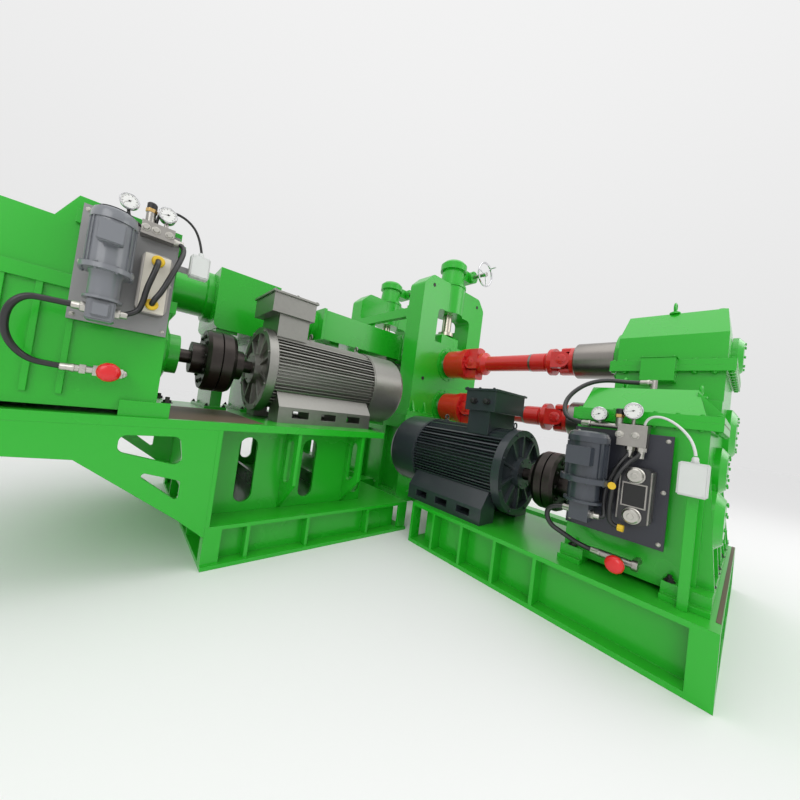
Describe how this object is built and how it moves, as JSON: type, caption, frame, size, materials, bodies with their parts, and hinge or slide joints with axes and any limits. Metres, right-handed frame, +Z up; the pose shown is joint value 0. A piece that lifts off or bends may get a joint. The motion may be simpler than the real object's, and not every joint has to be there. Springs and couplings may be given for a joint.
{
  "type": "extrusion calender line",
  "caption": "Extruder with its drive on a raised deck feeding a two-roll calender stand, whose rolls are turned through cardan shafts by a second motor and gear unit.",
  "frame": {"origin": "on the floor under the centre of the roll stand, midway between the two stands", "axes": "+X along the machine from the extruder to the rolls and beyond, +Y along the rolls away from their drive, +Z up"},
  "size_m": [4.72, 4.546, 3.31],
  "materials": {
    "black_steel": "blackened",
    "box_grey": "moulded",
    "chilled_roll": "ground",
    "cooler_paint": "satin enamel",
    "dark_motor_paint": "satin enamel",
    "hose_rubber": "smooth",
    "machine_green": "gloss machine enamel",
    "machined_steel": "turned",
    "panel_paint": "satin enamel",
    "pump_paint": "satin enamel",
    "red_paint": "gloss enamel",
    "screw_steel": "turned",
    "silver_motor_paint": "satin enamel",
    "wheel_chrome": "polished"
  },
  "bodies": {
    "frame": {"adjusting_screws": "screw_steel", "barrel_shroud": "machine_green", "bed_pan": "machine_green", "calender_junction_box": "box_grey", "calender_lube_panel": "panel_paint", "calender_lube_pump": "pump_paint", "calender_manifold": "machined_steel", "calender_motor_end_shield": "dark_motor_paint", "calender_motor_fan_cowl": "dark_motor_paint", "calender_motor_frame": "dark_motor_paint", "calender_motor_terminal_box": "dark_motor_paint", "calender_oil_cooler": "cooler_paint", "calender_pipe_fittings": "machined_steel", "calender_return_hose": "hose_rubber", "calender_suction_hose": "hose_rubber", "deck_brackets": "machine_green", "drive_base": "machine_green", "extruder_barrel": "machine_green", "extruder_base": "machine_green", "extruder_deck": "machine_green", "extruder_gear_case": "machine_green", "extruder_gear_cover": "machine_green", "extruder_junction_box": "box_grey", "extruder_lube_panel": "panel_paint", "extruder_lube_pump": "pump_paint", "extruder_manifold": "machined_steel", "extruder_motor_end_shield": "silver_motor_paint", "extruder_motor_fan_cowl": "silver_motor_paint", "extruder_motor_frame": "silver_motor_paint", "extruder_motor_terminal_box": "silver_motor_paint", "extruder_oil_cooler": "cooler_paint", "far_stand": "machine_green", "feed_chute": "machined_steel", "feed_throat": "machine_green", "foundation_links": "machine_green", "front_gear_case": "machine_green", "front_gear_cover": "machine_green", "junction_post": "machine_green", "lower_chocks": "machine_green", "near_stand": "machine_green", "rear_gear_case": "machine_green", "rear_gear_cover": "machine_green", "screw_columns": "machine_green", "shroud_prop": "machine_green", "stand_pedestals": "machine_green", "throat_pedestals": "machine_green", "tie_beams": "machine_green", "trestle_gussets": "machine_green", "trestle_webs": "machine_green", "upper_chocks": "machine_green"},
    "upper_roll_line": {"upper_roll": "chilled_roll", "upper_cardan_shaft": "red_paint", "upper_output_hub": "machined_steel"},
    "lower_roll_line": {"lower_roll": "chilled_roll", "lower_cardan_shaft": "red_paint", "lower_output_hub": "machined_steel"},
    "calender_coupling_line": {"calender_motor_coupling": "black_steel"},
    "extruder_coupling_line": {"extruder_motor_coupling": "black_steel"},
    "hand_wheel_line": {"hand_wheel": "wheel_chrome", "cross_shaft": "machined_steel"}
  },
  "joints": [
    {"name": "upper_roll_spin", "type": "hinge", "parent": "frame", "child": "upper_roll_line", "pos_m": [0, 0, 1.785], "axis": [0, 1, 0], "continuous": true},
    {"name": "lower_roll_spin", "type": "hinge", "parent": "frame", "child": "lower_roll_line", "pos_m": [0, 0, 1.215], "axis": [0, 1, 0], "continuous": true},
    {"name": "calender_coupling_spin", "type": "hinge", "parent": "frame", "child": "calender_coupling_line", "pos_m": [-0.925, -2.7, 0.723], "axis": [0, 1, 0], "continuous": true},
    {"name": "extruder_coupling_spin", "type": "hinge", "parent": "frame", "child": "extruder_coupling_line", "pos_m": [-2.77, -0.891, 1.266], "axis": [1, 0, 0], "continuous": true},
    {"name": "hand_wheel_spin", "type": "hinge", "parent": "frame", "child": "hand_wheel_line", "pos_m": [0.33, 0, 3.14], "axis": [0, 1, 0], "continuous": true}
  ],
  "couplings": [
    {"joint": "lower_roll_spin", "follows": "upper_roll_spin", "ratio": -1},
    {"joint": "calender_coupling_spin", "follows": "upper_roll_spin", "ratio": 20}
  ]
}
